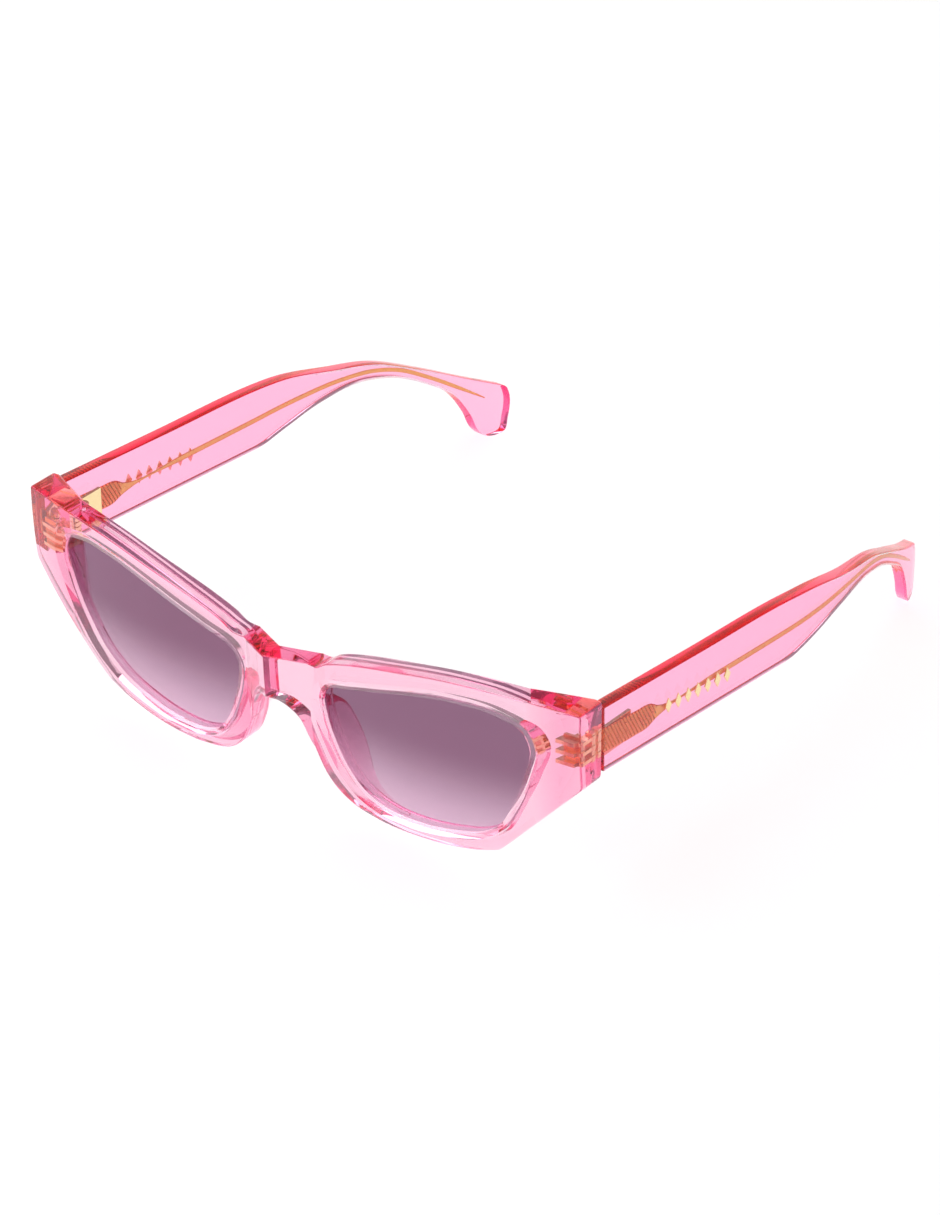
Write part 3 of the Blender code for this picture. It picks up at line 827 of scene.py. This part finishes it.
class SUNGLASSES_OT_front(bpy.types.Operator):
    """Add the acetate front, with its bevelled openings, grooves and centre ridge"""

    bl_idname = "sunglasses.front"
    bl_label = "Front"

    def execute(self, context):
        settings = context.scene.sunglasses_acetate
        # Rings round the rim, closed on themselves. Each is the outline or the opening moved along its
        # normal, or a straight blend of both at the same bearing, and has a depth of its own.
        outline = rounded_outline(FRONT_RUNS, FRONT_CORNERS, OUTLINE_STEPS)
        opening = closed_curve(OPENING, OPENING_STEPS)
        bearings = bearings_of(outline, opening)
        outer, outer_normal = by_bearing(outline, bearings)
        inner, inner_normal = by_bearing(opening, bearings)
        foot = np.clip((FOOT_TOP - outer[:, 1:]) / FOOT_RISE, 0, 1)
        foot *= np.clip((outer[:, :1] - FOOT_INNER) / FOOT_SPREAD, 0, 1)
        edge = settings.edge + (settings.lower_edge - settings.edge) * foot
        bevel = settings.bevel_low + settings.bevel_growth * inner[:, 1:]
        thickness = settings.thickness
        rows = []

        def row(points, depth):
            """Adds a ring of flat points at a depth."""
            rows.append(np.concatenate([points, np.broadcast_to(depth, (len(points), 1))], axis=1))

        def across(start, end, depth, count):
            """Adds the rings between two others, at equal shares of the straight way."""
            for share in np.linspace(0, 1, count)[1:-1]:
                row(start + (end - start) * share, depth)

        for inset, deep in round_over(1.0, True):
            row(outer - outer_normal * edge * inset, edge * deep)
        face = outer - outer_normal * (edge + SUPPORT)
        row(face, 0.0)
        rim = inner + inner_normal * bevel
        across(face, rim, 0.0, FACE_ROWS)
        row(rim, 0.0)
        row(rim - (rim - inner) * 0.5, settings.bevel_depth * 0.5)
        row(inner, settings.bevel_depth)
        row(inner, GROOVE[0])
        row(inner + inner_normal * GROOVE_REACH, GROOVE[0])
        row(inner + inner_normal * GROOVE_REACH, GROOVE[1])
        row(inner, GROOVE[1])
        for inset, deep in round_over(settings.edge, True):
            row(inner + inner_normal * inset, thickness - deep)
        start = inner + inner_normal * (settings.edge + SUPPORT)
        end = outer - outer_normal * (edge + SUPPORT)
        row(start, thickness)
        across(start, end, thickness, BACK_ROWS)
        row(end, thickness)
        for inset, deep in round_over(1.0, False):
            row(outer - outer_normal * edge * inset, thickness - edge * deep)
        points = np.concatenate(rows)
        faces = ring_faces(len(rows), len(outer), closed_rows=True)
        solid = solid_of(points, faces, CREASES, middle=True)

        def bend(flat):
            """The rim, with what lies behind its middle carried back to the flat rear of the endpieces."""
            x, z, depth = flat.T
            room = ENDPIECE_BACK - front_surface(x, z) - thickness
            facet = room - FACET_RISE[0] * (FACET_CORNER[0] - x) + FACET_RISE[1] * (FACET_CORNER[1] - z)
            room = np.maximum(np.minimum(room, facet), 0)
            step = np.minimum(ENDPIECE_STEP_SLOPE * np.maximum(x - ENDPIECE_STEP_X, 0), room)
            behind = np.where(depth > BACK_FROM, step, 0)
            return bend_front(np.stack([x, z, depth + behind], axis=1))

        piece = add_piece(
            "acetate_front", solid, bend, 1, front_acetate(), FRONT_BODY, "front", mirrored=True
        )
        # Painted shade on the faces of the bridge that look up
        mark_painted_top_shade(piece.data, RIDGE_HALF_WIDTH)
        piece.visible_shadow = False
        return {"FINISHED"}


class SUNGLASSES_OT_lenses(bpy.types.Operator):
    """Add the two gradient lenses, each let into the groove of its rim"""

    bl_idname = "sunglasses.lenses"
    bl_label = "Lenses"

    def execute(self, context):
        # Rings that shrink straight to the lens centre on both faces, joined by a ridged edge
        opening = closed_curve(OPENING, LENS_STEPS)
        normal = outward(opening)
        edge = opening + normal * (LENS_REACH - LENS_BEVEL)
        ridge = opening + normal * LENS_REACH
        middle = sum(LENS_DEPTHS) / 2
        profile = [(edge, LENS_DEPTHS[0]), (ridge, middle - LENS_RIDGE_HALF)]
        profile += [(ridge, middle + LENS_RIDGE_HALF), (edge, LENS_DEPTHS[1])]
        shares = np.linspace(0.0, 1.0, LENS_ROWS)[:-1]
        rows = [(LENS_CENTRE + (edge - LENS_CENTRE) * share, LENS_DEPTHS[0]) for share in shares]
        rows += profile
        rows += [(LENS_CENTRE + (edge - LENS_CENTRE) * share, LENS_DEPTHS[1]) for share in shares[::-1]]
        rings = [np.column_stack([ring, np.full(len(ring), depth)]) for ring, depth in rows]
        points = np.concatenate(rings)
        faces = ring_faces(len(rows), len(opening))
        for side, sign in SIDES:
            solid = solid_of(points, faces)
            piece = add_piece(
                f"tinted_lens_{side}",
                solid,
                bend_front,
                sign,
                lens_tint(),
                FRONT_BODY,
                f"lens_{side}",
            )
            piece.visible_shadow = False
        return {"FINISHED"}


class SUNGLASSES_OT_nose_pads(bpy.types.Operator):
    """Add the two solid nose pads behind the rims"""

    bl_idname = "sunglasses.nose_pads"
    bl_label = "Nose pads"

    def execute(self, context):
        # Sections square to the pad's middle line. Round each goes the cosine of a turn, raised to the
        # roundness, times the half width, and the sine, never below nought and raised to it too, times
        # the height. A point leans outwards by a share of its depth.
        x, z, half, height = smooth_run(NOSE_PAD, PAD_STEPS).T
        turn = np.linspace(0, 2 * math.pi, PAD_SIDES, endpoint=False)
        wide = np.sign(np.cos(turn)) * np.abs(np.cos(turn)) ** PAD_ROUNDNESS
        deep = np.maximum(np.sin(turn), 0) ** PAD_ROUNDNESS
        places = along_line(np.stack([x, z], axis=1), half, wide)
        depth = height[:, None] * deep
        places[..., 0] += PAD_LEAN * depth
        points, faces = capped(np.concatenate([places, (PAD_START + depth)[..., None]], axis=2))
        for side, sign in SIDES:
            solid = solid_of(points, faces)
            piece = add_piece(
                f"soft_nose_pad_{side}",
                solid,
                bend_front,
                sign,
                front_acetate(),
                FRONT_BODY,
                f"nose_pad_{side}",
            )
            piece.visible_shadow = False
        return {"FINISHED"}


def resampled(line, count):
    """A line cut at equal shares of a mix of its length and its own points, which keeps corners round."""
    along = lengths(line)
    own = np.linspace(0, 1, len(line))
    share = LENGTH_SHARE * along / along[-1] + (1 - LENGTH_SHARE) * own
    return np.stack([np.interp(np.linspace(0, 1, count), share, column) for column in line.T], axis=1)


def coons(bottom, top, left, right):
    """A patch between four lines: both pairs blended straight across, less the blend of the corners."""
    u = np.linspace(0, 1, len(bottom))[None, :, None]
    v = np.linspace(0, 1, len(left))[:, None, None]
    ruled = (1 - v) * bottom[None] + v * top[None] + (1 - u) * left[:, None] + u * right[:, None]
    corners = (1 - u) * (1 - v) * bottom[0] + u * (1 - v) * bottom[-1]
    corners = corners + (1 - u) * v * top[0] + u * v * top[-1]
    return ruled - corners


class SUNGLASSES_OT_temples(bpy.types.Operator):
    """Add the two acetate temples, flat to the kink and then bent in and down to a squared foot"""

    bl_idname = "sunglasses.temples"
    bl_label = "Temples"

    def execute(self, context):
        settings = context.scene.sunglasses_acetate
        edge, thickness = settings.edge, settings.temple_thickness
        # Each face is a patch blended between the four sides of the outline. The walls are the outline
        # moved in along its normal by the steps of a quarter round at each face.
        ring = rounded_outline(TEMPLE_RUNS, TEMPLE_CORNERS, OUTLINE_STEPS)
        marks = (TEMPLE_RUNS[0][0], TEMPLE_RUNS[1][0], FOOT_SPLIT, TEMPLE_RUNS[3][0])
        at = [int(np.argmin(np.linalg.norm(ring - mark, axis=1))) for mark in marks]
        ring = np.roll(ring, -at[0], axis=0)
        at = [(i - at[0]) % len(ring) for i in at] + [len(ring)]
        looped = np.concatenate([ring, ring[:1]])
        sides = [resampled(looped[at[i] : at[i + 1] + 1], SIDE_POINTS[i]) for i in range(4)]
        border = np.concatenate([line[:-1] for line in sides])
        normal = outward(border)
        stops = np.cumsum([0] + [len(line) - 1 for line in sides])

        def patch(inset):
            """The face inside the border, moved in by the inset."""
            moved = border - normal * inset
            loop = np.concatenate([moved, moved[:1]])
            top, end, low, start = (loop[stops[i] : stops[i + 1] + 1] for i in range(4))
            return coons(low[::-1], top, start, end[::-1])

        flat = patch(edge + SUPPORT)
        rows_v, rows_u = flat.shape[:2]
        count = rows_v * rows_u
        index = np.arange(count).reshape(rows_v, rows_u)
        rim = np.concatenate([index[-1, :-1], index[:0:-1, -1], index[0, :0:-1], index[:-1, 0]])
        profile = [(edge * inset, edge * deep) for inset, deep in round_over(1.0, False)]
        profile += [(inset, thickness - deep) for inset, deep in profile[::-1]]
        walls = [
            np.column_stack([border - normal * inset, np.full(len(border), depth)])
            for inset, depth in profile
        ]
        outer = np.column_stack([flat.reshape(-1, 2), np.zeros(count)])
        back = np.column_stack([flat.reshape(-1, 2), np.full(count, thickness)])
        points = np.concatenate([outer, back] + walls)
        strip = ring_faces(len(walls), len(border)) + 2 * count
        first = 2 * count + np.arange(len(border))
        last = first + (len(walls) - 1) * len(border)
        joins = [
            np.stack([rim, np.roll(rim, -1), np.roll(first, -1), first], axis=-1),
            np.stack([rim + count, np.roll(rim + count, -1), np.roll(last, -1), last], axis=-1),
        ]
        faces = np.concatenate([sheet_faces(index), sheet_faces(index + count), strip] + joins)
        for side, sign in SIDES:
            solid = solid_of(points, faces, (((SWEEP_START, 0.0), (1.0, 0.0)),))
            piece = add_piece(
                f"acetate_temple_{side}",
                solid,
                bend_temple,
                sign,
                temple_acetate(),
                f"temple_assembly_{side}",
                f"temple_{side}",
            )
            # Painted shade on the temple's faces that look up
            mark_painted_top_shade(piece.data, 2 * HALF_WIDTH)
            piece.visible_shadow = False
        return {"FINISHED"}


class SUNGLASSES_OT_cores(bpy.types.Operator):
    """Add the metal core of each temple, a reeded paddle that narrows to a pointed wire"""

    bl_idname = "sunglasses.cores"
    bl_label = "Temple cores"

    def execute(self, context):
        # A superellipse square to the core's line. On the paddle its thickness dips by the square of a
        # raised cosine of the distance back, which is slanted across the core.
        line = smooth_run(CORE, CORE_STEPS)
        along = lengths(line[:, :2])
        paddle = np.arange(0.0, REED_END - line[0, 0], REED_STEP)
        wire = np.arange(WIRE_FROM, along[-1], WIRE_STEP)
        fine = np.concatenate([paddle, wire, along[-1:]])
        y, z, half = (np.interp(fine, along, column) for column in line.T)
        taper = np.clip((along[-1] + POINT_SPARE - fine) / POINT_LENGTH, POINT_LEAST, 1)
        reeded = np.clip((REED_END - y) / REED_FADE, 0, 1)
        across = np.linspace(-1, 1, CORE_ACROSS)
        swell = (1 - np.abs(across) ** CORE_SQUARENESS) ** (1 / CORE_SQUARENESS)
        wide = np.concatenate([across, across[-2:0:-1]])
        deep = np.concatenate([swell, -swell[-2:0:-1]])
        places = along_line(np.stack([y, z], axis=1), half, wide)
        back = y[:, None] + REED_SLANT * half[:, None] * wide
        groove = 0.5 - 0.5 * np.cos(2 * math.pi * back / REED_PITCH)
        thick = (CORE_HALF_THICKNESS - REED_DEPTH * groove**2 * reeded[:, None]) * taper[:, None]
        depth = CORE_DEPTH + thick * deep
        points, faces = capped(np.concatenate([places, depth[..., None]], axis=2))
        for side, sign in SIDES:
            solid = solid_of(points, faces)
            add_piece(
                f"reeded_core_{side}",
                solid,
                bend_temple,
                sign,
                core_gold(),
                f"temple_assembly_{side}",
                f"core_wire_{side}",
            )
        return {"FINISHED"}


class SUNGLASSES_OT_ornaments(bpy.types.Operator):
    """Add the bevelled metal lozenges on the outer face of each temple"""

    bl_idname = "sunglasses.ornaments"
    bl_label = "Ornaments"

    def execute(self, context):
        # Each lozenge is its four corners, scaled to a share of its half sizes, at stepped depths
        number = np.arange(ORNAMENTS)[:, None, None]
        corners = np.array(((1.0, 0.0), (0.0, 1.0), (-1.0, 0.0), (0.0, -1.0)))
        middles = np.array(ORNAMENT_START) + np.array(ORNAMENT_STEP) * number
        half = np.array(ORNAMENT_HALF)
        inset = 1 - ORNAMENT_BEVEL / half.min()
        rings = ((0.0, ORNAMENT_SUNK), (1.0, ORNAMENT_SUNK), (1.0, ORNAMENT_BEVEL - ORNAMENT_PROUD))
        rings += ((inset, -ORNAMENT_PROUD), (0.0, -ORNAMENT_PROUD))
        blank = ring_faces(len(rings), len(corners))
        rows = [middles + half * corners * share for share, _ in rings]
        depths = [np.full((ORNAMENTS, len(corners), 1), depth) for _, depth in rings]
        points = np.stack([np.concatenate(pair, axis=2) for pair in zip(rows, depths)], axis=1)
        faces = (blank[None] + number * len(rings) * len(corners)).reshape(-1, 4)
        for side, sign in SIDES:
            solid = solid_of(points.reshape(-1, 3), faces)
            nodes = [f"temple_ornament_{side}_{index + 1}" for index in range(ORNAMENTS)]
            body = f"temple_assembly_{side}"
            add_piece(f"lozenges_{side}", solid, bend_temple, sign, hinge_gold(), body, nodes)
        return {"FINISHED"}


class SUNGLASSES_OT_hinges(bpy.types.Operator):
    """Give the hinges and screws their pale gold plate"""

    bl_idname = "sunglasses.hinges"
    bl_label = "Hinges"

    def execute(self, context):
        for name, node in frame["nodes"].items():
            if "hinge" in name:
                node.data.materials.clear()
                node.data.materials.append(hinge_gold())
        return {"FINISHED"}


class SUNGLASSES_OT_stage(bpy.types.Operator):
    """Add the pale floor, the soft light and the camera"""

    bl_idname = "sunglasses.stage"
    bl_label = "Stage"

    def execute(self, context):
        scene = context.scene
        settings = scene.sunglasses_stage
        floor_mesh = bpy.data.meshes.new("floor")
        corners = [(x * FLOOR_REACH, y * FLOOR_REACH) for x, y in ((-1, -1), (1, -1), (1, 1), (-1, 1))]
        floor_mesh.from_pydata([(x, y, -FLOOR_DROP) for x, y in corners], [], [(0, 1, 2, 3)])
        material, _, _, shader = new_material("pale_floor")
        shader.inputs["Base Color"].default_value = (0.97, 0.97, 0.97, 1.0)
        shader.inputs["Roughness"].default_value = 0.9
        shader.inputs["Specular IOR Level"].default_value = 0.0
        floor_mesh.materials.append(material)
        floor = bpy.data.objects.new("floor", floor_mesh)
        scene.collection.objects.link(floor)

        world = bpy.data.worlds.new("white_room")
        world.use_nodes = True
        nodes, links = world.node_tree.nodes, world.node_tree.links
        direction = nodes.new("ShaderNodeTexCoord")
        split = nodes.new("ShaderNodeSeparateXYZ")
        rise = nodes.new("ShaderNodeMapRange")
        rise.interpolation_type = "SMOOTHSTEP"
        rise.inputs["From Min"].default_value = math.sin(settings.sweep * SWEEP_FADE)
        rise.inputs["From Max"].default_value = math.sin(settings.sweep)
        rise.inputs["To Min"].default_value = settings.horizon
        rise.inputs["To Max"].default_value = settings.ceiling
        backdrop = nodes["Background"]
        backdrop.inputs["Color"].default_value = (1, 1, 1, 1)
        links.new(direction.outputs["Generated"], split.inputs["Vector"])
        links.new(split.outputs["Z"], rise.inputs["Value"])
        links.new(rise.outputs["Result"], backdrop.inputs["Strength"])
        scene.world = world

        lamp = bpy.data.lights.new("soft_box", "AREA")
        lamp.energy = settings.lamp
        lamp.shape = "RECTANGLE"
        lamp.size, lamp.size_y = LAMP_SIZE
        box = bpy.data.objects.new("soft_box", lamp)
        box.location = LAMP_PLACE
        box.rotation_euler = (-Vector(LAMP_PLACE)).to_track_quat("-Z", "Y").to_euler()
        scene.collection.objects.link(box)

        a, e, r = settings.azimuth, settings.elevation, settings.roll
        back = Vector((math.sin(a) * math.cos(e), -math.cos(a) * math.cos(e), math.sin(e)))
        right = Vector((0, 0, 1)).cross(back).normalized()
        up = back.cross(right)
        right, up = right * math.cos(r) + up * math.sin(r), up * math.cos(r) - right * math.sin(r)
        camera = bpy.data.cameras.new("camera")
        camera.sensor_fit = "HORIZONTAL"
        camera.sensor_width = 36.0
        camera.lens = settings.focal
        camera.clip_start = 0.01
        eye = bpy.data.objects.new("camera", camera)
        turn = Matrix((right, up, back)).transposed().to_4x4()
        eye.matrix_world = Matrix.Translation(Vector(settings.eye)) @ turn
        scene.collection.objects.link(eye)
        scene.camera = eye
        scene.view_settings.view_transform = "Standard"
        scene.cycles.max_bounces = 32
        scene.cycles.transmission_bounces = 32
        scene.cycles.glossy_bounces = 16
        return {"FINISHED"}


class SUNGLASSES_PT_panel(bpy.types.Panel):
    """Lists the pieces of the sunglasses"""

    bl_idname = "SUNGLASSES_PT_panel"
    bl_label = "Sunglasses"
    bl_space_type = "VIEW_3D"
    bl_region_type = "UI"
    bl_category = "Sunglasses"

    def draw(self, context):
        for operator in OPERATORS:
            self.layout.operator(operator.bl_idname)


OPERATORS = (
    SUNGLASSES_OT_front,
    SUNGLASSES_OT_lenses,
    SUNGLASSES_OT_nose_pads,
    SUNGLASSES_OT_temples,
    SUNGLASSES_OT_cores,
    SUNGLASSES_OT_ornaments,
    SUNGLASSES_OT_hinges,
    SUNGLASSES_OT_stage,
)
SETTINGS = (
    ("sunglasses_acetate", AcetateSettings),
    ("sunglasses_lens", LensSettings),
    ("sunglasses_metal", MetalSettings),
    ("sunglasses_stage", StageSettings),
)


def register():
    """Adds the settings, the operators and the panel to Blender."""
    for name, group in SETTINGS:
        bpy.utils.register_class(group)
        setattr(bpy.types.Scene, name, bpy.props.PointerProperty(type=group))
    for cls in OPERATORS + (SUNGLASSES_PT_panel,):
        bpy.utils.register_class(cls)


def unregister():
    """Takes them away again, in the opposite order."""
    for cls in reversed(OPERATORS + (SUNGLASSES_PT_panel,)):
        bpy.utils.unregister_class(cls)
    for name, group in reversed(SETTINGS):
        delattr(bpy.types.Scene, name)
        bpy.utils.unregister_class(group)


def main():
    """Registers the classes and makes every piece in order."""
    register()
    for operator in OPERATORS:
        group, name = operator.bl_idname.split(".")
        getattr(getattr(bpy.ops, group), name)()


if __name__ == "__main__":
    main()
